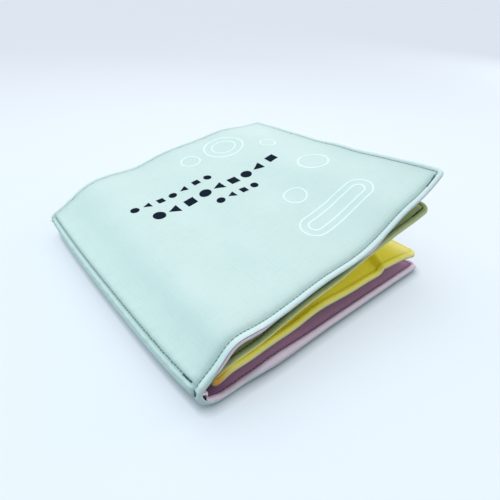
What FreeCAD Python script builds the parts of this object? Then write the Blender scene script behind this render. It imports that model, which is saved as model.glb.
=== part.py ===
"""Cloth picture book lying on its back cover, with the front cover sprung open a little.

X runs from the spine to the fore-edge, Y from the tail to the head, Z up.
The origin is the middle of the face that the book rests on.  All sizes are in millimetres.

Sections are drawn in the book's own coordinates: u is the distance from the spine's fold line
towards the fore-edge, v the distance from the tail edge towards the head, z the height.
"""
import FreeCAD
import Part
import math
import os

Vector = FreeCAD.Vector

# ---- driving dimensions ----
BOOK_HEIGHT = 190.0            # tail edge to head edge
BACK_REACH = 188.0             # spine fold line to the back cover's fore-edge
ORIGIN_U = 98.0                # the origin's place between spine and fore-edge

COVER_CLOTH = 1.8              # cover cotton with its turned-in seam allowance
LINING_CLOTH = 1.4             # lining cotton, the same way
PAGE_CLOTH = 1.4               # each of the two cotton layers of a page
COVER_PANEL = COVER_CLOTH + LINING_CLOTH
LINING_INSET = 0.9             # the cover cloth turns over the edge by this much
PAGE_INSET = 2.0               # pages stop short of the cover at tail and head
PRINT_BUILD = 0.4              # height that the print stands for

COVER_CORNER = 5.0             # corner radii in plan
PAGE_CORNER = 8.0
SPARE = 10.0                   # how far cutting pieces run past what they cut

HINGE_U = 0.5                  # front cover's hinge line, along Y
HINGE_Z = 15.0
HINGE_GAP = 0.45               # play between the front cover's edge and the spine wall
OPEN_ANGLE = 160.0             # how far the front cover swings from where it lies

EXTRA_POINTS = 3               # points on a sheet's face curve beyond its mid-line's poles

# ---- mid-lines of the bent sheets, as the poles of a cubic spline (u, z) ----
FRONT_TAIL = [(0.5, 15.0), (4.5, 19.8), (11.0, 27.0), (19.5, 34.2), (34.0, 31.8), (56.0, 35.4),
              (80.0, 41.0), (104.0, 40.8), (126.0, 48.4), (146.0, 62.8), (164.0, 64.4), (178.0, 77.0)]
FRONT_HEAD = [(0.5, 15.0), (5.0, 18.2), (14.0, 22.6), (27.0, 33.2), (46.0, 37.2), (67.0, 36.0),
              (88.0, 44.6), (110.0, 48.0), (133.0, 50.8), (154.0, 56.4), (176.0, 53.6), (197.0, 55.8)]

FOLD_U, FOLD_Z = 6.3, 11.9     # middle of the page sheet's fold at the spine
FOLD_RADIUS = 2.15             # to the joint between the sheet's two layers
FOLD_TOP = FOLD_Z + FOLD_RADIUS
FOLD_FOOT = FOLD_Z - FOLD_RADIUS
UPPER_TAIL = [(180.0, 52.6), (163.0, 48.6), (142.0, 46.0), (118.0, 41.0), (95.0, 34.6), (72.0, 31.6),
              (50.0, 26.0), (32.0, 23.8), (17.5, 24.6), (10.5, FOLD_TOP), (FOLD_U, FOLD_TOP)]
UPPER_HEAD = [(183.0, 47.0), (163.0, 45.8), (141.0, 43.2), (118.0, 39.4), (95.0, 35.4), (72.0, 32.0),
              (50.0, 29.0), (32.0, 26.2), (17.5, 22.2), (10.5, FOLD_TOP), (FOLD_U, FOLD_TOP)]
LOWER_TAIL = [(FOLD_U, FOLD_FOOT), (10.5, FOLD_FOOT), (15.5, 18.0), (28.0, 17.2), (46.0, 18.2),
              (68.0, 20.6), (92.0, 22.4), (114.0, 20.4), (137.0, 19.0), (160.0, 20.6), (183.0, 14.6)]
LOWER_HEAD = [(FOLD_U, FOLD_FOOT), (10.5, FOLD_FOOT), (15.5, 16.4), (28.0, 16.2), (46.0, 16.6),
              (68.0, 17.2), (92.0, 17.4), (114.0, 17.2), (137.0, 16.4), (160.0, 15.2), (184.0, 13.4)]

# ---- print on the front cover, in plan: (u, v) ----
MARK_ROWS = [                  # first mark, number of marks, spacing, size of a mark
    ((37.0, 128.0), 7, 9.6, 6.0),
    ((46.0, 112.0), 9, 12.0, 8.6),
    ((84.0, 97.0), 4, 9.6, 6.0),
]
RINGS = [                      # centre, outer radius, line width
    ((132.0, 158.0), 17.0, 1.3),
    ((132.0, 158.0), 10.5, 1.1),
    ((160.0, 136.0), 7.0, 1.1),
    ((100.0, 158.0), 8.0, 1.1),
    ((157.0, 84.0), 12.0, 1.3),
    ((122.0, 66.0), 8.5, 1.1),
]
FRAMES = [                     # centre, width, height, corner radius, turn in degrees
    ((128.0, 36.0), 62.0, 20.0, 10.0, 0.0),
    ((128.0, 36.0), 51.0, 10.0, 5.0, 0.0),
]
FRAME_LINE = 1.2


def spline(poles):
    """Cubic spline in the plane Y = 0 from its (u, z) poles."""
    curve = Part.BSplineCurve()
    curve.buildFromPoles([Vector(u, 0, z) for u, z in poles], False, 3)
    return curve


def offset_curve(poles, distance, v):
    """Curve beside a mid-line, on the left of its direction as seen with Z up."""
    middle = spline(poles)
    first, last = middle.FirstParameter, middle.LastParameter
    count = len(poles) + EXTRA_POINTS
    steps = [index / (count - 1) for index in range(count)]
    points = []
    for step in steps:
        at = first + (last - first) * step
        tangent = middle.tangent(at)[0]
        normal = Vector(-tangent.z, 0, tangent.x)
        points.append(middle.value(at) + normal * distance + Vector(0, v, 0))
    curve = Part.BSplineCurve()
    curve.interpolate(Points=points, Parameters=steps)
    return curve.toShape(), points[0], points[-1]


def strip_edges(poles, near, far, v):
    """Four edges, in order, of a sheet's section between two distances from its mid-line."""
    first, first_start, first_end = offset_curve(poles, near, v)
    second, second_start, second_end = offset_curve(poles, far, v)
    return [first, Part.makeLine(first_end, second_end), second, Part.makeLine(first_start, second_start)]


def ruled_solid(tail_edges, head_edges):
    """Solid between two closed sections with the same number of edges."""
    faces = [Part.Face(Part.Wire(Part.__sortEdges__(edges))) for edges in (tail_edges, head_edges)]
    for tail_edge, head_edge in zip(tail_edges, head_edges):
        faces.append(Part.makeRuledSurface(tail_edge, head_edge))
    shell = Part.makeShell(faces)
    shell.sewShape()
    return Part.makeSolid(shell)


def bent_sheet(tail_poles, head_poles, near, far, v_tail, v_head):
    """Solid sheet that changes evenly from its tail section to its head section."""
    return ruled_solid(strip_edges(tail_poles, near, far, v_tail),
                       strip_edges(head_poles, near, far, v_head))


def plan_block(tail_end, head_end, inset, radius):
    """Upright block over the plan of a sheet, with the two fore-edge corners rounded."""
    low, high = inset, BOOK_HEIGHT - inset
    ring = [Vector(-SPARE, low, -SPARE), Vector(tail_end, low, -SPARE), Vector(head_end, high, -SPARE),
            Vector(-SPARE, high, -SPARE)]
    block = Part.Face(Part.makePolygon(ring + ring[:1])).extrude(Vector(0, 0, BOOK_HEIGHT))
    corners = [edge for edge in block.Edges
               if edge.BoundBox.ZLength > BOOK_HEIGHT / 2 and edge.BoundBox.XMin > BACK_REACH / 2]
    return block.makeFillet(radius, corners)


def rod_along_y(u, z, radius):
    return Part.makeCylinder(radius, BOOK_HEIGHT, Vector(u, 0, z), Vector(0, 1, 0))


def front_sheet(near, far):
    """Sheet over the whole front cover, between two distances from its mid-line."""
    return bent_sheet(FRONT_TAIL, FRONT_HEAD, near, far, 0, BOOK_HEIGHT)


def front_cover_cloth():
    """Cover cotton of the front cover, rounded along the hinge line."""
    cloth = front_sheet(COVER_PANEL / 2 - COVER_CLOTH, COVER_PANEL / 2)
    edge = COVER_PANEL / 2
    cloth = cloth.common(plan_block(FRONT_TAIL[-1][0] + edge, FRONT_HEAD[-1][0] + edge, 0, COVER_CORNER))
    return cloth.fuse(rod_along_y(HINGE_U, HINGE_Z, COVER_PANEL / 2)).removeSplitter()


def front_lining():
    """Lining cotton of the front cover, just inside the turned-over edge."""
    cloth = front_sheet(-COVER_PANEL / 2, COVER_PANEL / 2 - COVER_CLOTH)
    cloth = cloth.common(plan_block(FRONT_TAIL[-1][0] - LINING_INSET, FRONT_HEAD[-1][0] - LINING_INSET,
                                    LINING_INSET, COVER_CORNER))
    return cloth.cut(rod_along_y(HINGE_U, HINGE_Z, COVER_PANEL / 2))


def spine_section(inner, outer, fore_edge, v_tail, v_head):
    """Sheet that lies flat and turns up a quarter circle at the spine."""
    middle_radius = HINGE_Z - COVER_PANEL / 2
    centre = Vector(HINGE_U + middle_radius, 0, HINGE_Z)
    half = math.sqrt(0.5)

    def quarter(radius):
        return Part.Arc(centre + Vector(-radius, 0, 0), centre + Vector(-radius * half, 0, -radius * half),
                        centre + Vector(0, 0, -radius)).toShape()

    inner_radius = middle_radius - inner
    outer_radius = middle_radius + outer
    inner_end = Vector(fore_edge, 0, HINGE_Z - inner_radius)
    outer_end = Vector(fore_edge, 0, HINGE_Z - outer_radius)
    edges = [
        quarter(inner_radius),
        Part.makeLine(centre + Vector(0, 0, -inner_radius), inner_end),
        Part.makeLine(inner_end, outer_end),
        Part.makeLine(outer_end, centre + Vector(0, 0, -outer_radius)),
        quarter(outer_radius),
        Part.makeLine(centre + Vector(-outer_radius, 0, 0), centre + Vector(-inner_radius, 0, 0)),
    ]
    face = Part.Face(Part.Wire(Part.__sortEdges__(edges)))
    face.translate(Vector(0, v_tail, 0))
    return face.extrude(Vector(0, v_head - v_tail, 0))


def front_edge_space():
    """Room that the front cover's hinge edge needs beside the spine wall, closed and fully open."""
    half_width = COVER_PANEL / 2 + HINGE_GAP
    space = rod_along_y(HINGE_U, HINGE_Z, half_width)
    rises = [spline(poles).tangent(0)[0] for poles in (FRONT_TAIL, FRONT_HEAD)]
    for rise in rises:
        closed = math.degrees(math.atan2(rise.z, rise.x))
        for angle in (closed, closed + OPEN_ANGLE):
            room = Part.makeBox(SPARE, BOOK_HEIGHT, 2 * half_width, Vector(0, 0, -half_width))
            room.rotate(Vector(0, 0, 0), Vector(0, -1, 0), angle)
            room.translate(Vector(HINGE_U, 0, HINGE_Z))
            space = space.fuse(room)
    return space


def back_sheet(inner, outer, inset):
    """Sheet over the back cover and spine, with its fore-edge corners rounded."""
    cloth = spine_section(inner, outer, BACK_REACH - inset, inset, BOOK_HEIGHT - inset)
    cloth = cloth.common(plan_block(BACK_REACH - inset, BACK_REACH - inset, inset, COVER_CORNER))
    return cloth.cut(front_edge_space())


def back_cover_cloth():
    """Cover cotton of the back cover and the spine, in one piece."""
    return back_sheet(COVER_CLOTH - COVER_PANEL / 2, COVER_PANEL / 2, 0)


def back_lining():
    """Lining cotton of the back cover and the spine."""
    return back_sheet(COVER_PANEL / 2, COVER_PANEL / 2 - COVER_CLOTH, LINING_INSET)


def fold_edges(near, far, v):
    """Four edges of the section of the page sheet's fold, from the upper leaf round to the lower."""
    centre = Vector(FOLD_U, v, FOLD_Z)
    sides = []
    for distance in (near, far):
        radius = FOLD_RADIUS - distance
        ends = (centre + Vector(0, 0, radius), centre - Vector(0, 0, radius))
        sides.append((Part.Arc(ends[0], centre - Vector(radius, 0, 0), ends[1]).toShape(), ends))
    (first, first_ends), (second, second_ends) = sides
    return [first, Part.makeLine(first_ends[1], second_ends[1]), second,
            Part.makeLine(first_ends[0], second_ends[0])]


def leaf(tail_poles, head_poles, end, near, far):
    """One layer of one leaf, with its fore-edge corners rounded."""
    sheet = bent_sheet(tail_poles, head_poles, near, far, PAGE_INSET, BOOK_HEIGHT - PAGE_INSET)
    return sheet.common(plan_block(tail_poles[end][0] + PAGE_CLOTH, head_poles[end][0] + PAGE_CLOTH,
                                   PAGE_INSET, PAGE_CORNER))


def page_cloth(near, far):
    """One cotton layer of the folded page sheet: two leaves and the fold between them."""
    upper = leaf(UPPER_TAIL, UPPER_HEAD, 0, near, far)
    lower = leaf(LOWER_TAIL, LOWER_HEAD, -1, near, far)
    fold = ruled_solid(fold_edges(near, far, PAGE_INSET), fold_edges(near, far, BOOK_HEIGHT - PAGE_INSET))
    return upper.fuse([fold, lower]).removeSplitter()


def print_layer():
    """Thin layer on the front cover's outer face that the printed shapes are cut from."""
    return front_sheet(COVER_PANEL / 2, COVER_PANEL / 2 + PRINT_BUILD)


def printed(shapes):
    """The printed layer's pieces inside each of the upright shapes."""
    layer = print_layer()
    pieces = []
    for shape in shapes:
        pieces += layer.common(shape).Solids
    if len(pieces) != len(shapes):
        raise RuntimeError("a printed shape is missing or broken")
    return Part.makeCompound(pieces)


def upright(face):
    """Plan shape drawn at z = 0, carried straight up past the front cover."""
    return face.extrude(Vector(0, 0, 100.0))


def disc(centre, radius):
    circle = Part.Circle(Vector(centre[0], centre[1], 0), Vector(0, 0, 1), radius)
    return Part.Face(Part.Wire(circle.toShape()))


def polygon(centre, corners, radius, turn):
    """Regular polygon in plan."""
    points = []
    for index in range(corners):
        angle = math.radians(turn) + 2 * math.pi * index / corners
        points.append(Vector(centre[0] + radius * math.cos(angle), centre[1] + radius * math.sin(angle), 0))
    return Part.Face(Part.makePolygon(points + points[:1]))


def rounded_frame(centre, width, height, radius, turn):
    """Face with round corners in plan."""
    block = Part.makeBox(width, height, 1.0, Vector(-width / 2, -height / 2, 0))
    block = block.makeFillet(radius - 0.01, [edge for edge in block.Edges if edge.BoundBox.ZLength > 0.9])
    face = min(block.Faces, key=lambda side: side.CenterOfMass.z)
    face.rotate(Vector(0, 0, 0), Vector(0, 0, 1), turn)
    face.translate(Vector(centre[0], centre[1], 0))
    return face


def navy_print():
    """Three rows of plain marks: discs, triangles and squares in turn."""
    shapes = []
    for (u, v), count, spacing, size in MARK_ROWS:
        for index in range(count):
            centre = (u + index * spacing, v)
            kind = index % 3
            if kind == 0:
                shapes.append(upright(disc(centre, size / 2)))
            elif kind == 1:
                shapes.append(upright(polygon(centre, 3, size * 0.6, 90)))
            else:
                shapes.append(upright(polygon(centre, 4, size * 0.62, 45)))
    return printed(shapes)


def white_line_print():
    """Outlined rings and rounded frames on the fore-edge half of the cover."""
    shapes = []
    for centre, radius, line in RINGS:
        shapes.append(upright(disc(centre, radius)).cut(upright(disc(centre, radius - line))))
    for centre, width, height, radius, turn in FRAMES:
        outer = rounded_frame(centre, width, height, radius, turn)
        inner = rounded_frame(centre, width - 2 * FRAME_LINE, height - 2 * FRAME_LINE,
                              radius - FRAME_LINE, turn)
        shapes.append(upright(outer).cut(upright(inner)))
    return printed(shapes)


def export(name, shape):
    """Move a sub-part into the part's own frame and write it."""
    placed = shape.copy()
    placed.translate(Vector(-ORIGIN_U, -BOOK_HEIGHT / 2, 0))
    if not placed.isValid():
        raise RuntimeError(name + " is not a valid shape")
    placed.exportStep("parts/" + name + ".step")
    box = placed.BoundBox
    print("%-18s %2d solids %9.1f mm3  x %6.1f..%6.1f  y %6.1f..%6.1f  z %5.1f..%5.1f" % (
        name, len(placed.Solids), placed.Volume, box.XMin, box.XMax, box.YMin, box.YMax,
        box.ZMin, box.ZMax))


os.makedirs("parts", exist_ok=True)
export("front_cover_cloth", front_cover_cloth())
export("front_lining", front_lining())
export("back_cover_cloth", back_cover_cloth())
export("back_lining", back_lining())
export("page_cloth_green", page_cloth(0.0, -PAGE_CLOTH))
export("page_cloth_yellow", page_cloth(0.0, PAGE_CLOTH))
export("navy_print", navy_print())
export("white_line_print", white_line_print())
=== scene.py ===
"""Dresses the cloth book: cotton cover and leaves, their topstitching and print, and the table it lies on.

Sizes in this file are millimetres, from the book's own corner: u runs from the spine fold to the fore edge,
v from the tail to the head, and z up. `placed` turns them into the frame's metres.
"""

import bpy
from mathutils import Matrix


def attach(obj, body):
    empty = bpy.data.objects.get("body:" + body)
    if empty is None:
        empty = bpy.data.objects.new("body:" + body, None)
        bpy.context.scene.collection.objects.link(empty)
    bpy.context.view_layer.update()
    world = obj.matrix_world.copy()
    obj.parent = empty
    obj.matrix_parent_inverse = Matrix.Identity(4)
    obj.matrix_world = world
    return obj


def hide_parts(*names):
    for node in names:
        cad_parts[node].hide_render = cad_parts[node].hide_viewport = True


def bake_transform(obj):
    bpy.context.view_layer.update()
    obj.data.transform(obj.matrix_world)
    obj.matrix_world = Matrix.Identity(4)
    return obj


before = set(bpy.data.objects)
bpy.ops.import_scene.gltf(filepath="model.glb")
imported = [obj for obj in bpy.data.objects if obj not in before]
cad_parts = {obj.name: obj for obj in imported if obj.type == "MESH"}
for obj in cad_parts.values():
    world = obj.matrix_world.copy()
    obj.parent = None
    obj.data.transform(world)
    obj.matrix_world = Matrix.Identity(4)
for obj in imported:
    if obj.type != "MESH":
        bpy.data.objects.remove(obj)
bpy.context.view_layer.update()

import math

import bmesh
import bpy
import numpy as np
from bpy.props import FloatProperty, FloatVectorProperty, PointerProperty
from mathutils import Matrix, Vector

bl_info = {
    "name": "Cloth Book",
    "version": (1, 0, 0),
    "blender": (4, 5, 0),
    "location": "3D View > Sidebar > Cloth Book",
    "description": "Builds a quilted cotton book with stitched covers and leaves",
    "category": "Object",
}

HEIGHT = 190.0  # tail to head
ORIGIN_U = 98.0  # the frame's origin, from the spine fold
BACK_REACH = 188.0  # fore edge of the back cover
HINGE = (0.5, 15.0)  # spine fold the front cover turns about
SPINE_RADIUS = 13.4  # middle of the cover where the spine turns under
PANEL = 3.2  # both cloths of the cover and the air between them
COVER_CORNER = 5.0
LEAF_CORNER = 8.0
LEAF_INSET = 2.0  # a leaf is this much shorter at the head
LEAF_TAIL = 0.7  # and at the tail
FOLD_TAIL = (10.6, 15.6)  # where the leaves fold, in u and z
FOLD_HEAD = (6.3, 11.9)
FOLD_RADIUS = 2.15

# Section lines of the front cover and the leaves, at the tail and at the head, as (u, z) control points.
FRONT_TAIL = [HINGE, (4.2, 18.8), (12.4, 24.4), (18.4, 35.4), (34, 31.8), (56, 35.4),
              (80, 41), (104, 40.8), (126, 48.4), (146, 62.8), (164, 64), (179.3, 77)]
FRONT_HEAD = [HINGE, (5, 18.2), (14, 22.6), (27, 33.2), (46, 37.2), (67, 36),
              (88, 44.6), (110, 48), (133, 50.8), (154, 56.4), (176, 53.6), (197, 55.8)]
UPPER_TAIL = [(180, 52.6), (163, 48.6), (142, 46), (118, 41), (95, 34.6), (72, 31.6),
              (50, 26.4), (36, 19.8), (24, 20), (15, 19)]
UPPER_HEAD = [(183, 47), (163, 45.8), (141, 43.2), (118, 39.4), (95, 35.4), (72, 32),
              (50, 29), (32, 26.2), (17.5, 22.2), (10.5, 14.1)]
LOWER_TAIL = [(14.5, 14.6), (17.5, 17.2), (28, 15.8), (46, 18.6), (60, 18.2), (76, 21.9),
              (92, 21), (114, 19), (137, 20.6), (160, 21), (185.2, 14.2)]
LOWER_HEAD = [(10.5, 9.8), (15.5, 16.4), (28, 16.2), (46, 16.6), (68, 17.2),
              (92, 17.4), (114, 17.2), (137, 16.4), (160, 15.2), (184, 13.4)]

MARGIN = 3.5  # from an edge to its topstitch
STEP = 2.6  # width of the coarse squares a cloth is drawn with
FINE_BAND = 7.5  # the squares are a quarter as wide this near an edge or a seam
UV_UNIT = 100.0  # millimetres of cloth to one unit of its UV map
SEAM_S = 1.9  # the spine seam, from the fold along the front cover
SEAM_START = 6.5  # where that seam begins, from the tail
CREASE = (-131.0, -0.58)  # a crease of the lower leaf: its s at the tail edge, and its slope
END_FADE = 32.0  # the painted highlight on an end that is paler fades over this length

STITCH_SHOWS = 0.86  # share of a stitch that lies on the cloth, between its two holes
THREAD_LIFT = 0.14  # middle of a thread above the cloth

PRINT_LIFT = 0.10  # ink above the cloth
PRINT_SINK = 0.15  # and how far it reaches into it
PRINT_STEP = 2.0  # lines are cut into squares this wide, so that they bend with the cloth
MARK_STEP = 1.5  # and solid marks into these
# rows of solid marks: the first one's place, how many, their spacing and size
MARK_ROWS = [((37, 128), 7, 9.6, 6), ((46, 112), 9, 12, 8.6), ((84, 97), 4, 9.6, 6)]
# disc, triangle and square in turn: sides, radius as a share of the size, and turn in degrees
MARKS = [(40, 0.5, 0), (3, 0.6, 90), (4, 0.62, 45)]
# rings: centre, outer radius and width of the line
RINGS = [((132, 158), 17, 1.3), ((132, 158), 10.5, 1.1), ((160, 136), 7, 1.1),
         ((100, 158), 8, 1.1), ((157, 84), 12, 1.3), ((122, 66), 8.5, 1.1)]
# long frames: centre, length, width, corner radius and width of the line
FRAMES = [((128, 36), 62, 20, 10, 1.2), ((128, 36), 51, 10, 5, 1.2)]

# Bodies of the frame that pieces ride on: the leaves and their stitches on the first, the print on the
# second.
BODIES = ("back_and_pages", "front_cover")

# The stage, in metres, watts and degrees.
TABLE_REACH = 40.0  # half the width of the card
CARD_LIT, CARD_GLOW = 0.46, 0.52  # share of the card's colour that is lit, and strength of its glow
SUN_FROM = (-0.20, 0.48, 1.0)
LAMPS_AIM = (0.05, 0.0, 0.04)
AREA_LAMPS = [  # name, place, width, power and colour
    ("warm wall behind", (0.10, 0.50, 0.45), 0.4, 0.35, (1.0, 0.6, 0.5)),
    ("window above the right", (0.22, 0.12, 0.45), 0.4, 0.36, (1.0, 1.0, 1.0)),
    ("low window at the right", (1.50, -0.28, 0.38), 0.8, 7.0, (1.0, 1.0, 1.0)),
    ("sky at the left", (-0.60, 0.05, 0.28), 0.4, 0.8, (0.45, 0.9, 1.0)),
]
EYE = (-0.1543, -0.1810, 0.1606)
VIEW_ANGLES = (-42.754, 33.966, 4.145)  # the eye's bearing and height from the book, and its roll
LENS = 27.72  # in millimetres, on a sensor 36 wide


def linear(code):
    """The scene-linear colour of an sRGB hex code."""
    parts = [int(code[i:i + 2], 16) / 255 for i in (1, 3, 5)]
    return [p / 12.92 if p <= 0.04045 else ((p + 0.055) / 1.055) ** 2.4 for p in parts]


def measure(name, description, default, least, most):
    """A size in millimetres."""
    return FloatProperty(name=name, description=description, default=default, min=least, max=most)


class ClothBookSizes(bpy.types.PropertyGroup):
    """Sizes a maker would change."""

    stitch: measure("Stitch length", "One topstitch, hole to hole", 2.3, 1.5, 5.0)
    thread: measure("Thread width", "Topstitching thread", 0.42, 0.1, 1.0)
    cloth: measure("Cloth", "Thickness of the cotton itself", 0.5, 0.2, 1.0)
    weave: measure("Weave", "Spacing of the drawn weave", 1.1, 0.2, 4.0)


def colour(name, description, code):
    """A colour, given as an sRGB hex code."""
    return FloatVectorProperty(name=name, description=description, subtype="COLOR", size=3,
                               min=0.0, max=1.0, default=linear(code))


class ClothBookColours(bpy.types.PropertyGroup):
    """Colours of the cottons, threads and inks."""

    mint: colour("Mint cotton", "Outside of the cover", "#C6DCD9")
    # the paler edge colours are partly wear and partly a painted highlight on the rolled edge
    mint_worn_lit: colour("Worn mint", "Its edge", "#D4E8E8")
    lilac: colour("Lilac cotton", "Inside of the cover", "#D4A0C7")
    lilac_worn_lit: colour("Worn lilac", "Its edge", "#F6E6F4")
    # painted shade: multiplied into the lining in the fold
    lilac_fold_shade: colour("Deep lilac", "Multiplies it in the fold", "#5C3A5C")
    green: colour("Green cotton", "Outside of the leaves", "#A9C27E")
    green_worn_lit: colour("Worn green", "Its edge", "#D5E0A8")
    yellow: colour("Yellow cotton", "Inside of the leaves", "#F8EE3E")
    yellow_worn_lit: colour("Worn yellow", "Its edge", "#F2EDB4")
    # painted shade: multiplied into the yellow cloth in the fold
    yellow_fold_shade: colour("Deep yellow", "Multiplies it in the fold", "#DE9428")
    teal_thread: colour("Teal thread", "Topstitch of the cover", "#1F5A5C")
    purple_thread: colour("Purple thread", "The same seam on the lining", "#5A3472")
    green_thread: colour("Green thread", "Topstitch of the leaves", "#1F4A2C")
    gold_thread: colour("Gold thread", "The same seam inside the leaves", "#E0D038")
    navy_ink: colour("Navy ink", "Solid marks", "#07192B")
    white_ink: colour("White ink", "Line marks", "#DDF0F2")
    table: colour("Table", "What the book lies on", "#E0F0FA")


def choices():
    """The scene's own sizes and colours."""
    scene = bpy.context.scene
    return scene.cloth_book_sizes, scene.cloth_book_colours


def placed(points):
    """Book millimetres as metres of the frame."""
    return (np.asarray(points) - (ORIGIN_U, HEIGHT / 2, 0.0)) / 1000


def finish_piece(name, bm, material, smooth=True):
    """A new object from a bmesh whose vertices are already in the frame."""
    mesh = bpy.data.meshes.new(name)
    bm.to_mesh(mesh)
    bm.free()
    if smooth:
        mesh.shade_smooth()
    mesh.materials.append(material)
    piece = bpy.data.objects.new(name, mesh)
    bpy.context.scene.collection.objects.link(piece)
    return piece


def lay_down(bm, points, s, t):
    """Moves the vertices to these book points, mapped by their cloth points."""
    layer = bm.loops.layers.uv.new("cloth")
    for vert, place, spot in zip(bm.verts, placed(points), np.stack([s, t], 1) / UV_UNIT):
        vert.co = place
        for loop in vert.link_loops:
            loop[layer].uv = spot


# ---- section lines

def section_line(poles):
    """Dense (u, z) points of the cubic NURBS over these control points."""
    curve = bpy.data.curves.new("section", "CURVE")
    spline = curve.splines.new("NURBS")
    spline.points.add(len(poles) - 1)
    for point, (u, z) in zip(spline.points, poles):
        point.co = (u, 0.0, z, 1.0)
    spline.order_u = 4
    spline.use_endpoint_u = True
    spline.resolution_u = 48
    holder = bpy.data.objects.new("section", curve)
    mesh = bpy.data.meshes.new_from_object(holder)
    points = np.array([(v.co.x, v.co.z) for v in mesh.vertices])
    bpy.data.meshes.remove(mesh)
    bpy.data.objects.remove(holder)
    bpy.data.curves.remove(curve)
    return points


def arc_line(centre, radius, start, turn):
    """(u, z) points of an arc, its angles in degrees."""
    angles = np.radians(start + turn * np.linspace(0, 1, 61))
    return np.stack([centre[0] + radius * np.cos(angles), centre[1] + radius * np.sin(angles)], 1)


def along(points):
    """Distance from the first point, at each point."""
    return np.concatenate([[0.0], np.cumsum(np.linalg.norm(np.diff(points, axis=0), axis=1))])


class Section:
    """The line a double cloth follows, from its lower fore edge over the fold to its upper one.

    Cloth coordinates: s along that line, 0 at the fold; t from the tail edge to the head.
    """

    GRAIN = 0.5  # spacing of the stored points
    EASE = 1.4  # corners of the line are rounded over this length

    def __init__(self, lower, upper, width, v_tail):
        """lower and upper are (tail points, head points) pairs that meet at the fold."""
        self.width, self.v_tail = width, v_tail
        runs = [[np.array(p) for p in pair] for pair in (lower, upper)]
        lengths = [(along(tail)[-1] + along(head)[-1]) / 2 for tail, head in runs]
        self.low, self.high = -lengths[0], lengths[1]
        self.s = np.linspace(self.low, self.high, int((self.high - self.low) / self.GRAIN) + 1)
        self.lines = []
        for end in (0, 1):
            under = self.spread(runs[0][end], np.clip(self.s / lengths[0] + 1, 0, 1))
            over = self.spread(runs[1][end], np.clip(self.s / lengths[1], 0, 1))
            self.lines.append(self.eased(np.where(self.s[:, None] < 0, under, over)))

    @staticmethod
    def spread(points, share):
        """Points at these shares of a line's length."""
        run = along(points)
        return np.stack([np.interp(share * run[-1], run, points[:, k]) for k in (0, 1)], 1)

    def eased(self, line):
        """The line with its corners rounded, its two ends kept."""
        reach = int(4 * self.EASE / self.GRAIN)
        weights = np.exp(-0.5 * (np.arange(-reach, reach + 1) * self.GRAIN / self.EASE) ** 2)
        steps = np.arange(1, reach + 1)[:, None]
        before = line[0] - steps[::-1] * (line[1] - line[0])
        after = line[-1] + steps * (line[-1] - line[-2])
        longer = np.concatenate([before, line, after])
        return np.stack([np.convolve(longer[:, k], weights / weights.sum(), "valid") for k in (0, 1)], 1)

    def rest(self, s, t):
        """Middle surface before it bends out of its ruled shape."""
        inside = np.clip(s, self.low, self.high)
        over = (s - inside)[..., None]
        ends = []
        for line in self.lines:
            point = np.stack([np.interp(inside, self.s, line[:, k]) for k in (0, 1)], -1)
            outward = np.where(over < 0, line[1] - line[0], line[-1] - line[-2]) / self.GRAIN
            ends.append(point + over * outward)
        share = (t / self.width)[..., None]
        flat = ends[0] * (1 - share) + ends[1] * share
        return np.stack([flat[..., 0], t + self.v_tail, flat[..., 1]], -1)

    def middle(self, s, t):
        """Middle surface of the cloth as it lies."""
        return self.settle(self.rest(s, t), s, t)

    def settle(self, point, s, t):
        """A section's own sags and curls, added to its middle surface."""
        return point

    def lay(self, s, t, lift):
        """Book points of cloth points raised by lift to the outer side."""
        gap = 0.3
        ds = self.middle(s + gap, t) - self.middle(s - gap, t)
        dt = self.middle(s, t + gap) - self.middle(s, t - gap)
        normal = np.cross(ds, dt)
        normal /= np.linalg.norm(normal, axis=-1, keepdims=True)
        return self.middle(s, t) + normal * lift[..., None], normal


def bump(x, centre, half):
    """A smooth hump of height 1, which has fallen to 1/e at `half` from its centre."""
    return np.exp(-((x - centre) / half) ** 2)


def ramp(x, start, end):
    """0 before start, 1 after end, smooth between."""
    share = np.clip((x - start) / (end - start), 0, 1)
    return share * share * (3 - 2 * share)


def ripple(x, waves, phase):
    """Irregular waves along a line, about -1 to 1; waves are their lengths."""
    total = sum(np.sin(2 * math.pi * x / wave + phase * (k + 1.7)) for k, wave in enumerate(waves))
    return total / len(waves)


class CoverSection(Section):
    """Both covers and the spine between them."""

    def __init__(self):
        foot = (SPINE_RADIUS + HINGE[0], HINGE[1])
        spine = arc_line(foot, SPINE_RADIUS, 270, -90)
        under = np.concatenate([[(BACK_REACH, PANEL / 2)], spine])
        super().__init__((under, under), (section_line(FRONT_TAIL), section_line(FRONT_HEAD)), HEIGHT, 0.0)

    def settle(self, point, s, t):
        share = np.clip(t / self.width, 0, 1)
        # the spine bows out between its ends, and more towards the tail
        off = 2 * share - 1
        bow = 1 - np.where(off < 0, off ** 4, off ** 2)
        point[..., 0] -= 3.3 * bow * bump(s, -4, 14)
        # the front panel is limp: its tail corner lifts, and it is nowhere quite flat
        fore = ramp(s, 0.75 * self.high, self.high)
        point[..., 2] += (1.1 * bump(t, 15, 35) - 0.9 * bump(t, 110, 55)) * fore
        waves = ripple(s + 0.4 * t, (47, 71), 1.0) + ripple(t - 0.3 * s, (39, 63), 2.0)
        point[..., 2] += 0.35 * ramp(s, 30, 60) * waves * (4 * share * (1 - share))
        # the back cover's margin curls up off the table, and near the fold it is lifted further in
        edge = np.minimum(self.width - t, s - self.low)
        point[..., 2] += 1.5 * ramp(-s, 24, 34) * np.exp(-np.clip(edge, 0, None) / 3.0)
        near_tail = np.exp(-np.clip(t, 0, None) / 6)
        point[..., 2] += 2.6 * ramp(-s, 24, 50) * near_tail
        # and its tail edge bellies out
        point[..., 1] -= (0.9 * ramp(-s, 30, 45) + 0.9 * bump(s, -56, 26)) * np.sqrt(near_tail)
        return point


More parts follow.
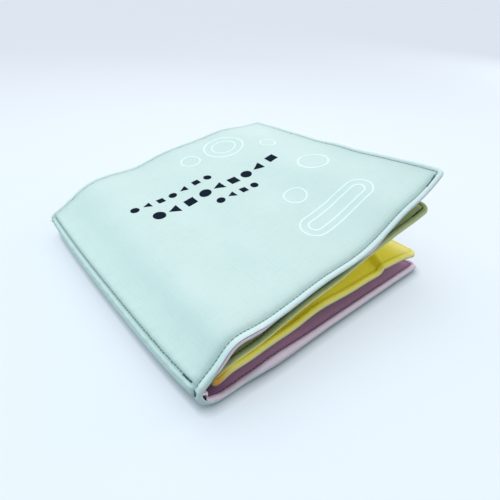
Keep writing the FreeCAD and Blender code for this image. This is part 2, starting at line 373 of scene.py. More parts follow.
class LeafSection(Section):
    """The two leaves, one folded strip."""

    def __init__(self):
        lower, upper = [], []
        for fold, under, over in ((FOLD_TAIL, LOWER_TAIL, UPPER_TAIL), (FOLD_HEAD, LOWER_HEAD, UPPER_HEAD)):
            turn = arc_line(fold, FOLD_RADIUS, 270, -180)
            half = len(turn) // 2 + 1
            foot, top = tuple(turn[0]), tuple(turn[-1])
            lower.append(np.concatenate([section_line([foot, *under])[::-1], turn[1:half]]))
            upper.append(np.concatenate([turn[half - 1:], section_line([*over, top])[::-1][1:]]))
        super().__init__(lower, upper, HEIGHT - LEAF_INSET - LEAF_TAIL, LEAF_TAIL)

    def settle(self, point, s, t):
        wave = ripple(s + 0.5 * t, (43, 67), 3.0) + ripple(t, (37, 59), 4.0)
        point[..., 2] += 0.25 * wave * ramp(np.abs(s), 20, 50)
        # near the fold the upper leaf's tail edge lies a little behind the lower one's
        point[..., 1] += 1.2 * bump(s, 24, 20) * np.exp(-t / 15)
        # a pressed crease steps across the lower leaf from its tail edge
        crease = s - CREASE[0] - CREASE[1] * t
        step = -1.3 * np.tanh(crease / 1.8) * bump(crease, 0, 12) + 0.5 * bump(crease, -2.6, 1.8)
        point[..., 2] += ramp(-s, 30, 60) * bump(t, 0, 38) * step
        return point


# ---- quilted sheets

class Quilt:
    """One face of a double cloth: its outline, how it rolls over the edge, and its stitched margin."""

    def __init__(self, section, side, thick, roll, corner, puff, phase, inset=0.0, panel=0.0):
        """side: 1 outside, -1 inside; thick: lift over the middle surface; roll: radius of the edge;
        puff, panel: fullness outside and inside the stitches; inset: how far the edge is set back.
        """
        self.section, self.side, self.thick, self.panel = section, side, thick, panel
        self.roll, self.corner, self.puff, self.phase, self.inset = roll, corner, puff, phase, inset
        self.turn = math.pi / 2 * roll
        self.low = section.low + inset
        self.high = section.high - inset
        self.width = section.width - 2 * inset

    def edge_lines(self, s, t):
        """Plan distance from the nearest edge, and distance along that edge."""
        ends = np.minimum(s - self.low, self.high - s)
        sides = np.minimum(t - self.inset, self.width + self.inset - t)
        return np.minimum(ends, sides), np.where(ends < sides, t, s)

    def seam_lift(self, s, t):
        """Where this face meets the other one, over the middle surface."""
        return np.zeros_like(s)

    def spill(self, s, t):
        """How far the face hangs out past its own tail edge."""
        return np.zeros_like(s)

    def lay(self, s, t, lift, rolled=1.0):
        """Book points and normals of the face's cloth points at this signed lift."""
        return self.section.lay(s, t - self.spill(s, t) * rolled, lift)

    def height(self, s, t):
        """Lift of the face over the middle surface, away from its rolled edge."""
        inside, run = self.edge_lines(s, t)
        pull = ripple(run, (13.0, 8.3, 5.9), self.phase)
        past = np.clip(inside - MARGIN, 0, None)
        lift = self.thick + self.puff * bump(inside, 0.5 * MARGIN, 1.4)
        lift += self.panel * (1 - np.exp(-past / 3.5))
        # the groove of the stitches, with puckers on both sides of it
        lift -= 0.75 * bump(inside, MARGIN, 0.75) * (1 + 0.25 * pull)
        lift += 0.15 * bump(inside, MARGIN + 3.0, 2.4) * (1 + pull)
        lift += 0.13 * pull * bump(inside, 0.5 * MARGIN, 1.6)
        lift += 0.10 * pull * np.exp(-past / 5.0) * (inside > MARGIN)
        return lift

    def lift(self, s, t, rolled):
        """Signed lift of the face; rolled is 0 at the very edge and 1 once the cloth has turned."""
        seam = self.seam_lift(s, t)
        return seam + (self.side * self.height(s, t) - seam) * rolled


class CoverFace(Quilt):
    """A face of the cover. Where the two cloths meet wanders between the top and the foot of the edge."""

    @staticmethod
    def slack(s):
        """Where the lining is loose at the tail: a long lip by the spine, and a short one further out."""
        return ramp(s, 6, 14) * (1 - ramp(s, 40, 58)), bump(s, 128, 12)

    def seam_lift(self, s, t):
        lip, short = self.slack(s)
        front = -0.9 + 1.2 * ramp(s, 6, 16) + 0.9 * lip + 0.7 * short
        back = -0.9 - 0.6 * ramp(-s, 14, 26) + 2.4 * ramp(-s, 38, 54) - 0.3 * ramp(-s, 110, 140)
        return np.where(s > 0, front, back)


class CoverOuter(CoverFace):
    """Mint face, with the spine seam."""

    def height(self, s, t):
        lift = super().height(s, t)
        pull = ripple(t, (9.0, 6.1, 14.0), 5.0)
        held = ramp(t, 2, 8) * ramp(HEIGHT - t, 0.5, 4)
        # the spine is flatter than the panels, its seam sunk between two soft ridges
        lift -= 0.75 * bump(s, -9, 9) * held
        lift -= held * (1.0 + 0.25 * pull) * bump(s, SEAM_S, 0.8)
        lift += held * (0.35 + 0.25 * pull) * bump(s, SEAM_S + 2.6, 1.8)
        lift += held * (0.25 + 0.30 * pull) * bump(s, SEAM_S - 1.7, 0.9)
        lift -= 0.45 * bump(s + 0.25 * pull, -1.0, 0.6)
        return lift


class CoverInner(CoverFace):
    """Lilac face, set back under the front cover's tail, loose at two places and bunched in the fold."""

    def seam_lift(self, s, t):
        # where it is loose or bunches its edge stands off the mint one and leaves small pockets
        lip, short = self.slack(s)
        return (super().seam_lift(s, t) - 2.3 * bump(s, -5.0, 2.6) * bump(t, 0, 4)
                - 0.8 * (lip + 0.5 * short) * bump(t, 0, 3))

    def spill(self, s, t):
        lip, short = self.slack(s)
        under = ramp(s, 4, 12) * (1 - ramp(s, 140, 165)) * (1 - lip) * (1 - short)
        return bump(t, 0, 6) * (0.3 * lip + 0.5 * short - 0.9 * under)

    def height(self, s, t):
        lift = super().height(s, t)
        inside, _ = self.edge_lines(s, t)
        lift -= 0.45 * (1 - ramp(inside, 2.5, 6.0)) * (s > 0)
        lip, short = self.slack(s)
        lift += bump(t, 0, 16) * (1.3 * lip + 1.2 * short)
        # cloth gathers in the back cover's edge, and bunches in the fold
        lift += 1.8 * bump(s, -56, 17) * bump(t, 8, 9)
        lift += bump(t, 0, 11) * (2.4 * bump(s, -5.0, 2.6) + 0.5 * bump(s, -16, 3))
        return lift


class LeafFace(Quilt):
    """A face of the leaves. The yellow cloth wraps over their edges, less so at the upper leaf's corner."""

    def seam_lift(self, s, t):
        return 1.1 - 1.2 * ramp(s, 95, 140)


def cut_cloth(across, over, close_by):
    """A flat grid of cut cloth, finer where close_by(x, y, band) holds."""
    bm = bmesh.new()
    bmesh.ops.create_grid(bm, x_segments=round(across / STEP), y_segments=round(over / STEP), size=0.5)
    bmesh.ops.scale(bm, vec=(across, over, 1), verts=bm.verts)
    bmesh.ops.translate(bm, vec=(across / 2, over / 2, 0), verts=bm.verts)
    for band in (FINE_BAND, FINE_BAND - 1.0):
        close = {v for v in bm.verts if close_by(v.co.x, v.co.y, band)}
        edges = [e for e in bm.edges if all(v in close for v in e.verts)]
        bmesh.ops.subdivide_edges(bm, edges=edges, cuts=1, use_grid_fill=True)
    return bm


def cloth_face(name, quilt, material, cloth, worn_lit_rim=(6.0, 1.0), stitch_shade_spread=(0.6, 0.5), seam=None, crease=None,
               fade=0.0, fold=(0.0, 1.0, 0.0, 0.0)):
    """A quilted sheet: a flat grid of the cut cloth, finer along its stitching, laid on its section.

    worn_lit_rim: how far and how much its edge is paler, partly from wear and partly a painted highlight;
    stitch_shade_spread: how wide the painted shade along its stitching is, and what share of it fades
    softly inwards; seam, crease: the s and slope of a line of stitches, which painted shade darkens too,
    and of a crease; fade: how much paler its ends are, a painted highlight; fold: where and how wide
    painted shade deepens its colour, how much, and how much of that reaches its edge.
    """
    long, wide = quilt.high - quilt.low, quilt.width
    turned = quilt.turn - quilt.roll  # extra cloth that rolls over each edge
    across, over = long + 2 * turned, wide + 2 * turned
    lines = [line for line in (seam, crease) if line]

    def close_by(x, y, band):
        """Whether a point is near an edge, or nearer still to the seam or the crease."""
        edge = min(x, y, across - x, over - y)
        return edge < band or any(abs(x + quilt.low - turned - at - slope * y) < 0.75 * band
                                  for at, slope in lines)

    bm = cut_cloth(across, over, close_by)
    centre = np.array((across, over)) / 2
    half = np.array((long, wide)) / 2
    off = np.array([v.co[:2] for v in bm.verts]) - centre
    # each square's distance from the cloth's own edge, and that in plan once the edge has rolled over
    deep = centre - np.abs(off)
    rolling = quilt.roll * (1 - np.cos(np.clip(deep, 0, quilt.turn) / quilt.roll))
    square = np.sign(off) * (half - np.where(deep < quilt.turn, rolling, deep - turned))
    depth = deep.min(1)
    rolled = np.sin(np.clip(depth, 0, quilt.turn) / quilt.roll)

    # the corners turn on a circle: squares inside each corner become rings
    flat = square.copy()
    inner = half - (quilt.corner - quilt.inset)
    beyond = np.abs(flat) - inner
    corner = (beyond > 0).all(1)
    both = beyond[corner]
    ring = both.max(1) / np.linalg.norm(both, axis=1)
    flat[corner] = np.sign(flat[corner]) * (inner + both * ring[:, None])

    middle = np.array(((quilt.low + quilt.high) / 2, quilt.inset + wide / 2))
    square_s, square_t = (square + middle).T
    s, t = (flat + middle).T
    points, _ = quilt.lay(s, t, quilt.lift(square_s, square_t, rolled), rolled)
    points[:, 2] = np.maximum(points[:, 2], 0.0)
    lay_down(bm, points, s, t)
    if quilt.side < 0:
        bmesh.ops.reverse_faces(bm, faces=bm.faces)
    piece = finish_piece(name, bm, material)

    # what its colour reads: its edge paler, partly wear and partly a painted highlight; its ends paler, a
    # painted highlight; and painted shade along its stitches and in the fold
    # the paler edge: partly wear, partly a painted highlight
    reach, paler = worn_lit_rim
    worn_lit_edge = paler * (1 - ramp(depth, 0.2 * reach, reach))
    ends = np.minimum(s - quilt.low, quilt.high - s)
    # painted shade: the cloth darkens in the groove of its stitches, and the darkening fades softly inwards
    inside, _ = quilt.edge_lines(square_s, square_t)
    past_stitch = np.clip(inside - MARGIN, 0, None)
    stitch_shade_half, soft = stitch_shade_spread
    past = (1 - soft) * bump(past_stitch, 0, stitch_shade_half + 0.1) + soft * np.exp(-past_stitch / 3.0)
    stitch_shade = np.where(inside < MARGIN, bump(inside, MARGIN, stitch_shade_half), past)
    # and painted shade along the spine seam
    if seam:
        stitch_shade = np.maximum(stitch_shade, 0.9 * bump(s, seam[0], 0.7))
    # painted shade deepens the colour in the fold
    fold_s, fold_half, fold_shade_strength, at_edge = fold
    # the ends are paler by fade, a painted highlight
    marks = {"worn_lit_rim": np.maximum(worn_lit_edge, fade * (1 - ramp(ends, 0, END_FADE))),
             "stitch_shade": stitch_shade,
             "fold_shade": fold_shade_strength * bump(s, fold_s, fold_half) * np.maximum(ramp(depth, 3, 6), at_edge)}
    for mark, values in marks.items():
        layer = piece.data.attributes.new(mark, "FLOAT", "POINT")
        layer.data.foreach_set("value", values.astype(np.float32))
    shell = piece.modifiers.new("cloth thickness", "SOLIDIFY")
    shell.thickness = cloth / 1000
    shell.offset = -1
    whole = bpy.data.meshes.new_from_object(piece.evaluated_get(bpy.context.evaluated_depsgraph_get()))
    piece.modifiers.clear()
    piece.data = whole
    return piece


def frames_along(quilt, path, lift):
    """Places, directions and normals of cloth points on a path, raised above the face."""
    s, t = path[:, 0], path[:, 1]
    height = quilt.side * (quilt.height(s, t) + lift)
    places, normals = quilt.lay(s, t, height)
    ahead = np.gradient(places, axis=0)
    ahead /= np.linalg.norm(ahead, axis=1, keepdims=True)
    return places, ahead, normals * quilt.side


def stitch_shape():
    """A short thread of unit size, thin where it dips into the cloth at both ends."""
    bm = bmesh.new()
    bmesh.ops.create_uvsphere(bm, u_segments=6, v_segments=5, radius=0.5)
    mesh = bpy.data.meshes.new("stitch")
    bm.to_mesh(mesh)
    bm.free()
    return mesh


def add_stitch(bm, place, ahead, up, length, width):
    """One topstitch, lying along `ahead` and pressed a little flat."""
    x = Vector(ahead).normalized()
    y = Vector(up).cross(x).normalized()
    turn = Matrix((y, x.cross(y), x)).transposed().to_4x4()
    size = Matrix.Diagonal((width / 1000, width / 1200, length / 1000, 1.0))
    laid = (bpy.data.meshes.get("stitch") or stitch_shape()).copy()
    laid.transform(Matrix.Translation(Vector(placed(place))) @ turn @ size)
    bm.from_mesh(laid)
    bpy.data.meshes.remove(laid)


def stitch_run(bm, quilt, start, end, pitch, width, rng):
    """Topstitches from one cloth point to another."""
    length = np.linalg.norm(end - start)
    count = max(2, round(length / pitch))
    shares = (np.arange(count) + 0.5) / count
    wander = rng.normal(0, 0.05, (count, 2))
    path = start + shares[:, None] * (end - start) + wander
    places, ahead, up = frames_along(quilt, path, THREAD_LIFT)
    for place, way, rise in zip(places, ahead, up):
        add_stitch(bm, place, way, rise, STITCH_SHOWS * length / count, width)


def back_tack(bm, quilt, start, end, pitch, width, rng):
    """A few stitches sewn over and over where a seam is locked."""
    length = np.linalg.norm(end - start)
    way = (end - start) / length
    aside = np.array((-way[1], way[0]))
    count = max(2, round(length / pitch))
    for layer in range(3):
        shift = aside * rng.uniform(-0.45, 0.45)
        shares = (np.arange(count) + rng.uniform(0.2, 0.8)) / count
        path = start + shift + shares[:, None] * (end - start) + rng.normal(0, 0.16, (count, 2))
        places, ahead, up = frames_along(quilt, path, 0.16 + 0.12 * layer)
        for place, along_it, rise in zip(places, ahead, up):
            skew = Vector(along_it) + Vector(rng.normal(0, 0.12, 3))
            add_stitch(bm, place, skew, rise, pitch * 1.05, width * 1.15)


def outline_runs(quilt):
    """The four sides of a quilt's topstitch, as pairs of cloth points."""
    low, high = quilt.section.low + MARGIN, quilt.section.high - MARGIN
    foot, top = MARGIN, quilt.section.width - MARGIN
    corners = [(low, foot), (high, foot), (high, top), (low, top)]
    return [(corners[k], corners[(k + 1) % 4]) for k in range(4)]


def topstitch(name, quilt, material, width, seed, tacks=(), extra=(), loose=()):
    """All the topstitching of one face; loose is the cut ends that stick out: place, direction, length."""
    pitch = choices()[0].stitch
    rng = np.random.default_rng(seed)
    bm = bmesh.new()
    for start, end in np.array([*outline_runs(quilt), *extra], float):
        stitch_run(bm, quilt, start, end, pitch, width, rng)
    for start, end in np.array(tacks, float):
        back_tack(bm, quilt, start, end, pitch, width, rng)
    for spot, way, length in loose:
        places, _, up = frames_along(quilt, np.array([spot, (spot[0], spot[1] + 0.1)]), 0.0)
        way = np.array(way) / np.linalg.norm(way)
        add_stitch(bm, places[0] + 0.5 * length * way, way, up[0], length, 0.4 * width)
    return finish_piece(name, bm, material)


# ---- print

def flat_shape(bm, sides, radius, turn=0):
    """A filled polygon about the origin, in millimetres."""
    bmesh.ops.create_circle(bm, cap_ends=True, segments=sides, radius=radius,
                            matrix=Matrix.Rotation(math.radians(turn), 4, "Z"))


def flat_frame(bm, long, wide, rounding):
    """A rectangle with rounded corners."""
    made = bmesh.ops.create_grid(bm, x_segments=1, y_segments=1, size=0.5)
    bmesh.ops.scale(bm, vec=(long, wide, 1), verts=made["verts"])
    bmesh.ops.bevel(bm, geom=made["verts"], offset=rounding, offset_type="OFFSET", segments=8, profile=0.5,
                    affect="VERTICES", material=-1)


def print_on(bm, quilt, centre, grid, line, draw, *sizes):
    """Lays a flat shape on the cloth, a little proud of it; only its rim is kept if line is a width."""
    part = bmesh.new()
    draw(part, *sizes)
    if line:
        face = part.faces[:][0]
        bmesh.ops.inset_individual(part, faces=[face], thickness=line, use_even_offset=True)
        bmesh.ops.delete(part, geom=[face], context="FACES_ONLY")
    reach = max(max(abs(v.co.x), abs(v.co.y)) for v in part.verts)
    for normal in (Vector((1, 0, 0)), Vector((0, 1, 0))):
        for k in range(-int(reach / grid), int(reach / grid) + 1):
            # the cuts are a hair off the shape's own corners
            bmesh.ops.bisect_plane(part, geom=part.verts[:] + part.edges[:] + part.faces[:],
                                   plane_co=(k + 0.013) * grid * normal, plane_no=normal)
    ink = bmesh.ops.extrude_face_region(part, geom=part.faces[:], use_keep_orig=True)
    raised = [g for g in ink["geom"] if isinstance(g, bmesh.types.BMVert)]
    bmesh.ops.translate(part, vec=(0, 0, 1), verts=raised)
    bmesh.ops.recalc_face_normals(part, faces=part.faces)
    u, v = centre
    section, share = quilt.section, v / HEIGHT
    path = section.lines[0] * (1 - share) + section.lines[1] * share
    front = section.s >= 0
    s0 = np.interp(u, path[front, 0], section.s[front])
    flat = np.array([vert.co for vert in part.verts])
    s, t = flat[:, 0] + s0, flat[:, 1] + v
    lift = quilt.height(s, t) + np.where(flat[:, 2] > 0.5, PRINT_LIFT, -PRINT_SINK)
    lay_down(part, section.lay(s, t, lift)[0], s, t)
    mesh = bpy.data.meshes.new("mark")
    part.to_mesh(mesh)
    part.free()
    bm.from_mesh(mesh)
    bpy.data.meshes.remove(mesh)


# ---- materials

WAVE_UNIT = 2 * math.pi / 20  # scale of a wave texture whose bands are one unit apart
# dyed quilting cotton, plain woven and washed: matt, softly fuzzy, a little uneven in its dye
COTTON = {"Roughness": 0.9, "Specular IOR Level": 0.25, "Sheen Weight": 0.12, "Sheen Roughness": 0.6}
# screen-printed textile ink: it sits in the weave and is a little smoother than the cotton
INK = {"Roughness": 0.8, "Specular IOR Level": 0.08}
# spun polyester sewing thread: twisted plies with a low sheen
THREAD = {"Roughness": 0.6, "Sheen Weight": 0.1}
PLY = 0.0006  # metres: real plies are 0.2 mm apart, and are drawn three times as coarse to show
CARD = {"Roughness": 0.95, "Specular IOR Level": 0.1}


def node(tree, kind, inputs=(), **settings):
    """Adds a node, with its settings; inputs gives a link or a constant for each socket."""
    made = tree.nodes.new("ShaderNode" + kind)
    for key, value in settings.items():
        setattr(made, key, value)
    for socket, source in dict(inputs).items():
        if isinstance(source, bpy.types.NodeSocket):
            tree.links.new(source, made.inputs[socket])
        else:
            made.inputs[socket].default_value = source
    return made


def empty_material(name, constants):
    """A material whose Principled shader holds these constants."""
    material = bpy.data.materials.new(name)
    material.use_nodes = True
    shader = material.node_tree.nodes["Principled BSDF"]
    for socket, value in constants.items():
        shader.inputs[socket].default_value = value
    return material, material.node_tree, shader


def shade(base, factor=1.0):
    """A colour scaled, with an alpha."""
    return [*(min(1.0, c * factor) for c in base), 1.0]


def woven(name, constants, base, worn_lit_colour, deep=None):
    """Plain-weave cotton: crossing threads, slubs and uneven dye; its edge pale, partly wear and partly a
    painted highlight; painted shade darkens it in a fold and along its stitches.

    Real quilting cotton has threads about 0.35 mm apart, which is too fine to show from here, so the
    weave is drawn three times as coarse.
    """
    material, tree, shader = empty_material(name, constants)
    spot = node(tree, "TexCoord").outputs["UV"]
    cloth = node(tree, "Mapping", {"Vector": spot, "Scale": (UV_UNIT,) * 3}).outputs["Vector"]
    scale = WAVE_UNIT / choices()[0].weave
    warp, weft = (node(tree, "TexWave", {"Vector": cloth, "Scale": scale * finer, "Distortion": 1.3,
                                         "Detail": 2.0}, bands_direction=way).outputs["Fac"]
                  for way, finer in (("X", 1.0), ("Y", 1.06)))
    plain = node(tree, "Math", {0: warp, 1: weft}, operation="ADD").outputs[0]
    cross = node(tree, "Math", {0: plain, 1: 0.4}, operation="MULTIPLY").outputs[0]
    slubs = []
    for stretch in ((0.09, 1.1, 1.0), (1.1, 0.09, 1.0)):
        grain = node(tree, "Mapping", {"Vector": cloth, "Scale": stretch}).outputs["Vector"]
        slubs.append(node(tree, "TexNoise", {"Vector": grain, "Scale": 1.0, "Detail": 3.0}).outputs["Fac"])
    slub = node(tree, "Math", {0: slubs[0], 1: slubs[1]}, operation="ADD").outputs[0]
    relief = node(tree, "Math", {0: cross, 1: slub}, operation="ADD").outputs[0]

    tint = node(tree, "ValToRGB", {"Fac": slub})
    tint.color_ramp.elements[0].position = 0.7
    for stop, factor in zip(tint.color_ramp.elements, (0.97, 1.02)):
        stop.color = shade(base, factor)
    dye = node(tree, "TexNoise", {"Vector": cloth, "Scale": 0.035, "Detail": 2.0}).outputs["Fac"]
    uneven = node(tree, "MapRange", {"Value": dye, "From Min": 0.35, "From Max": 0.65, "To Max": 0.10})
    layers = [(uneven.outputs["Result"], "MULTIPLY", base)]
    # painted shade darkens the groove along the stitches and the fold; the paler edge is partly wear and
    # partly a painted highlight
    for mark, much, blend, other in (("stitch_shade", 0.75, "MULTIPLY", shade(base, 0.6)),
                                     ("worn_lit_rim", 0.75, "MIX", worn_lit_colour),
                                     ("fold_shade", 1.0, "MULTIPLY", deep or base)):
        there = node(tree, "Attribute", attribute_name=mark).outputs["Fac"]
        share = node(tree, "Math", {0: there, 1: much}, operation="MULTIPLY").outputs[0]
        layers.append((share, blend, other))
    shown = tint.outputs["Color"]
    for share, blend, other in layers:
        shown = node(tree, "Mix", {"Factor": share, 6: shown, 7: shade(other[:3])}, data_type="RGBA",
                     blend_type=blend).outputs[2]
    tree.links.new(shown, shader.inputs["Base Color"])
    raised = node(tree, "Bump", {"Height": relief, "Strength": 0.14, "Distance": 0.00025})
    tree.links.new(raised.outputs["Normal"], shader.inputs["Normal"])
    return material


def polyester_thread(name, base):
    """Sewing thread with its plies, their shade and highlight painted into its colour."""
    material, tree, shader = empty_material(name, THREAD)
    spot = node(tree, "TexCoord").outputs["Object"]
    plies = node(tree, "TexWave", {"Vector": spot, "Scale": WAVE_UNIT / PLY, "Distortion": 0.5},
                 bands_direction="DIAGONAL").outputs["Fac"]
    # painted shade and highlight: the colour darkens between the plies and lightens on them, along the
    # waves of their bump
    tint = node(tree, "ValToRGB", {"Fac": plies})
    for stop, factor in zip(tint.color_ramp.elements, (0.7, 1.25)):
        stop.color = shade(base, factor)
    tree.links.new(tint.outputs["Color"], shader.inputs["Base Color"])
    twist = node(tree, "Bump", {"Height": plies, "Strength": 0.4, "Distance": 0.0001})
    tree.links.new(twist.outputs["Normal"], shader.inputs["Normal"])
    return material


# ---- operators

def hinged(piece):
    """The piece with its place baked into its mesh."""
    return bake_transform(piece)


def cover_quilts():
    """Outer and inner faces of the cover."""
    section = CoverSection()
    outer = CoverOuter(section, side=1, thick=1.5, roll=1.5, corner=COVER_CORNER, puff=0.25, phase=1.0,
                       panel=0.7)
    inner = CoverInner(section, side=-1, thick=1.6, roll=1.3, corner=COVER_CORNER, puff=0.20, phase=2.0,
                       inset=0.1)
    return outer, inner


def leaf_quilts():
    """Outer and inner faces of the folded leaves."""
    section = LeafSection()
    alike = {"thick": 1.4, "roll": 1.2, "corner": LEAF_CORNER, "puff": 0.15}
    return LeafFace(section, side=1, phase=3.0, **alike), LeafFace(section, side=-1, phase=4.0, **alike)


class CLOTHBOOK_OT_cover(bpy.types.Operator):
    """Build the mint cover cloth, with its topstitch, its spine seam and their locked ends"""

    bl_idname = "clothbook.cover"
    bl_label = "Cover cloth"

    def execute(self, context):
        sizes, colours = choices()
        outer, _ = cover_quilts()
        mint = woven("Mint quilting cotton", COTTON, colours.mint, colours.mint_worn_lit)
        # the edge is paler, partly from wear and partly a painted highlight; painted shade darkens it along
        # its stitches and the spine seam
        cloth = cloth_face("cover_cloth", outer, mint, sizes.cloth, seam=(SEAM_S, 0.0))
        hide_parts("front_cover_cloth", "back_cover_cloth")
        hinged(cloth)
        teal = polyester_thread("Teal polyester thread", colours.teal_thread)
        high = outer.high - MARGIN
        tacks = [((high - 3, MARGIN), (high - 12, MARGIN)),
                 ((SEAM_S, SEAM_START), (SEAM_S, SEAM_START + 6)), ((-1.2, 2.2), (0.6, 2.6))]
        seam = ((SEAM_S, SEAM_START), (SEAM_S, HEIGHT - 2.5))
        loose = [((-2.0, 187.0), (-1.0, 0.3, 0.1), 3.4), ((-2.4, 186.6), (-1.0, -0.2, 0.3), 2.0)]
        threads = topstitch("cover_topstitch", outer, teal, sizes.thread, 11, tacks, [seam], loose)
        hinged(threads)
        return {"FINISHED"}


class CLOTHBOOK_OT_lining(bpy.types.Operator):
    """Build the lilac lining inside the cover, with the underside of its topstitch"""

    bl_idname = "clothbook.lining"
    bl_label = "Cover lining"

    def execute(self, context):
        sizes, colours = choices()
        _, inner = cover_quilts()
        lilac = woven("Lilac quilting cotton", COTTON, colours.lilac, colours.lilac_worn_lit,
                      colours.lilac_fold_shade)
        # a wider, paler rim, partly from wear and partly a painted highlight; painted shade along its
        # stitches and in the fold
        cloth = cloth_face("cover_lining", inner, lilac, sizes.cloth, worn_lit_rim=(5.5, 1.2), stitch_shade_spread=(1.2, 0.12),
                           fold=(-8.0, 16.0, 1.0, 0.0))
        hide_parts("front_lining", "back_lining")
        hinged(cloth)
        purple = polyester_thread("Purple polyester thread", colours.purple_thread)
        threads = topstitch("lining_topstitch", inner, purple, 1.25 * sizes.thread, 12)
        hinged(threads)
        return {"FINISHED"}


class CLOTHBOOK_OT_leaves(bpy.types.Operator):
    """Build the green and yellow cloths of the two leaves, with their topstitch"""

    bl_idname = "clothbook.leaves"
    bl_label = "Leaves"

    def execute(self, context):
        sizes, colours = choices()
        outer, inner = leaf_quilts()
        green = woven("Green quilting cotton", COTTON, colours.green, colours.green_worn_lit)
        yellow = woven("Yellow quilting cotton", COTTON, colours.yellow, colours.yellow_worn_lit,
                       colours.yellow_fold_shade)
        green_thread = polyester_thread("Green polyester thread", colours.green_thread)
        gold_thread = polyester_thread("Gold polyester thread", colours.gold_thread)
        high = outer.high - MARGIN
        locked = [((high - 1, MARGIN), (high - 15, MARGIN)), ((high - 4, MARGIN), (high - 14, MARGIN))]
        # the last number of each row is how much paler the cloth's ends are, a painted highlight on the
        # yellow
        rows = [("leaf_cloth_green", outer, green, "page_cloth_green", "green_cotton", green_thread,
                 13, locked, 0.0),
                ("leaf_cloth_yellow", inner, yellow, "page_cloth_yellow", "yellow_cotton", gold_thread,
                 14, [], 0.8)]
        for name, quilt, material, stands_for, finish, thread, seed, tacks, fade in rows:
            # the edge is paler, partly from wear and partly a painted highlight; painted shade along the
            # stitches and in the fold
            cloth = cloth_face(name, quilt, material, sizes.cloth, worn_lit_rim=(2.2, 1.0), crease=CREASE, fade=fade,
                               fold=(0.0, 9.0, 0.9, 1.0))
            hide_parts(stands_for)
            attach(cloth, BODIES[0])
            threads = topstitch(name.replace("cloth", "topstitch"), quilt, thread, sizes.thread, seed,
                                tacks)
            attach(threads, BODIES[0])
        return {"FINISHED"}


class CLOTHBOOK_OT_print(bpy.types.Operator):
    """Print the navy marks and the white line marks on the front cover"""

    bl_idname = "clothbook.print"
    bl_label = "Print"

    def execute(self, context):
        _, colours = choices()
        outer, _ = cover_quilts()
        navy = woven("Navy textile ink", INK, colours.navy_ink, colours.navy_ink)
        white = woven("White textile ink", INK, colours.white_ink, colours.white_ink)
        bm = bmesh.new()
        for (u, v), count, spacing, size in MARK_ROWS:
            for k in range(count):
                sides, share, turn = MARKS[k % len(MARKS)]
                print_on(bm, outer, (u + k * spacing, v), MARK_STEP, None,
                         flat_shape, sides, share * size, turn)
        marks = finish_piece("navy_marks", bm, navy, smooth=False)
        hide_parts("navy_print")
        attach(marks, BODIES[1])
        bm = bmesh.new()
        for centre, radius, line in RINGS:
            print_on(bm, outer, centre, PRINT_STEP, line, flat_shape, 96, radius)
        for centre, *sizes, line in FRAMES:
            print_on(bm, outer, centre, PRINT_STEP, line, flat_frame, *sizes)
        lines = finish_piece("white_line_marks", bm, white, smooth=False)
        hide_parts("white_line_print")
        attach(lines, BODIES[1])
        return {"FINISHED"}


def add_lamp(name, kind, place, aim, **settings):
    """A lamp at place that shines towards aim."""
    light = bpy.data.lights.new(name, kind)
    for key, value in settings.items():
        setattr(light, key, value)
    lamp = bpy.data.objects.new(name, light)
    lamp.location = place
    lamp.rotation_mode = "QUATERNION"
    lamp.rotation_quaternion = (Vector(place) - Vector(aim)).to_track_quat("Z", "Y")
    bpy.context.scene.collection.objects.link(lamp)


def table_card(tone):
    """Overexposed matt card: part of what the camera sees of it is pale glow, painted light that no lamp
    gives, so that shadows on it stay light; close under an edge the glow dims into a painted contact
    shadow. The glow greys a little far behind, a painted falloff of the light.
    """
    card, tree, shader = empty_material("Matt white card", CARD)
    shader.inputs["Base Color"].default_value = shade(tone, CARD_LIT)
    spot = node(tree, "TexCoord").outputs["Object"]
    # painted falloff: the glow greys with distance from the middle of the book
    far = node(tree, "VectorMath", {0: spot}, operation="LENGTH").outputs["Value"]
    fade = node(tree, "MapRange", {"Value": far, "From Min": 0.2, "From Max": 1.0}).outputs["Result"]
    tones = {6: shade(linear("#EEF4FD")), 7: shade(linear("#E0E0EA"))}
    glow = node(tree, "Mix", {"Factor": fade, **tones}, data_type="RGBA")
    # painted contact shadow: ambient occlusion dims the glow close under an edge
    openness = node(tree, "AmbientOcclusion", {"Distance": 0.006}, samples=12).outputs["AO"]
    strength = node(tree, "LightPath").outputs["Is Camera Ray"]
    for factor in (openness, openness, CARD_GLOW):
        strength = node(tree, "Math", {0: strength, 1: factor}, operation="MULTIPLY").outputs[0]
    tree.links.new(glow.outputs[2], shader.inputs["Emission Color"])
    tree.links.new(strength, shader.inputs["Emission Strength"])
    return card


def soft_sky():
    """Daylight from all round, dimmer towards the horizon; the camera sees the far table's colour."""
    world = bpy.data.worlds.new("soft daylight")
    world.use_nodes = True
    tree = world.node_tree
    sky = tree.nodes["Background"]
    sky.inputs["Color"].default_value = shade(linear("#F8FBFF"))
    incoming = node(tree, "NewGeometry").outputs["Incoming"]
    height = node(tree, "SeparateXYZ", {"Vector": incoming}).outputs["Z"]
    dome = node(tree, "MapRange", {"Value": height, "From Max": -0.9, "To Min": 0.32, "To Max": 0.82})
    tree.links.new(dome.outputs["Result"], sky.inputs["Strength"])
    beyond = node(tree, "Background", {"Color": shade(linear("#DDE5F0"))})
    camera_ray = node(tree, "LightPath").outputs["Is Camera Ray"]
    either = node(tree, "MixShader", {0: camera_ray, 1: sky.outputs[0], 2: beyond.outputs[0]})
    tree.links.new(either.outputs[0], tree.nodes["World Output"].inputs["Surface"])
    return world


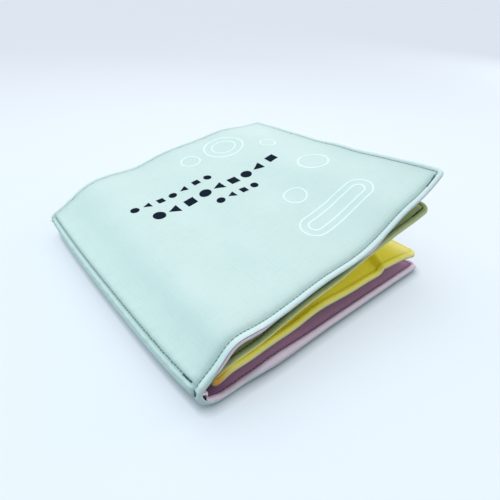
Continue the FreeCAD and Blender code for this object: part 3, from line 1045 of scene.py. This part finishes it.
def add_camera():
    """A camera at EYE, turned by VIEW_ANGLES."""
    azimuth, elevation, roll = (math.radians(a) for a in VIEW_ANGLES)
    back = Vector((math.sin(azimuth) * math.cos(elevation), -math.cos(azimuth) * math.cos(elevation),
                   math.sin(elevation)))
    right = Vector((0, 0, 1)).cross(back).normalized()
    across = math.cos(roll) * right + math.sin(roll) * back.cross(right)
    turn = Matrix((across, back.cross(across), back)).transposed().to_4x4()
    camera = bpy.data.objects.new("camera", bpy.data.cameras.new("camera"))
    camera.data.lens = LENS
    camera.data.clip_start = 0.01
    camera.matrix_world = Matrix.Translation(EYE) @ turn
    bpy.context.scene.collection.objects.link(camera)
    return camera


class CLOTHBOOK_OT_stage(bpy.types.Operator):
    """Set the table, the lamps and the camera"""

    bl_idname = "clothbook.stage"
    bl_label = "Table, lamps and camera"

    def execute(self, context):
        scene = context.scene
        bm = bmesh.new()
        bmesh.ops.create_grid(bm, x_segments=1, y_segments=1, size=TABLE_REACH,
                              matrix=Matrix.Translation((0, 15, 0)))
        table = finish_piece("table", bm, table_card(scene.cloth_book_colours.table), smooth=False)
        scene.world = soft_sky()
        add_lamp("overhead daylight", "SUN", SUN_FROM, (0, 0, 0), angle=math.radians(60), energy=1.09)
        for name, place, size, energy, tint in AREA_LAMPS:
            add_lamp(name, "AREA", place, LAMPS_AIM, size=size, energy=energy, color=tint)
        scene.camera = add_camera()
        scene.view_settings.view_transform = "Standard"
        return {"FINISHED"}


class CLOTHBOOK_PT_parts(bpy.types.Panel):
    """Shows the book's sizes and colours, and a button for each step"""

    bl_label = "Cloth Book"
    bl_idname = "CLOTHBOOK_PT_parts"
    bl_space_type = "VIEW_3D"
    bl_region_type = "UI"
    bl_category = "Cloth Book"

    def draw(self, context):
        for group in choices():
            for name in group.bl_rna.properties.keys():
                if name not in ("rna_type", "name"):
                    self.layout.prop(group, name)
        for operator in STEPS:
            self.layout.operator(operator.bl_idname)


STEPS = (CLOTHBOOK_OT_stage, CLOTHBOOK_OT_cover, CLOTHBOOK_OT_lining, CLOTHBOOK_OT_leaves,
         CLOTHBOOK_OT_print)
CLASSES = (ClothBookSizes, ClothBookColours, *STEPS, CLOTHBOOK_PT_parts)


def register():
    for cls in CLASSES:
        bpy.utils.register_class(cls)
    bpy.types.Scene.cloth_book_sizes = PointerProperty(type=ClothBookSizes)
    bpy.types.Scene.cloth_book_colours = PointerProperty(type=ClothBookColours)


def unregister():
    del bpy.types.Scene.cloth_book_colours
    del bpy.types.Scene.cloth_book_sizes
    for cls in reversed(CLASSES):
        bpy.utils.unregister_class(cls)


def main():
    register()
    bpy.ops.clothbook.stage()
    bpy.ops.clothbook.cover()
    bpy.ops.clothbook.lining()
    bpy.ops.clothbook.leaves()
    bpy.ops.clothbook.print()


if __name__ == "__main__":
    main()
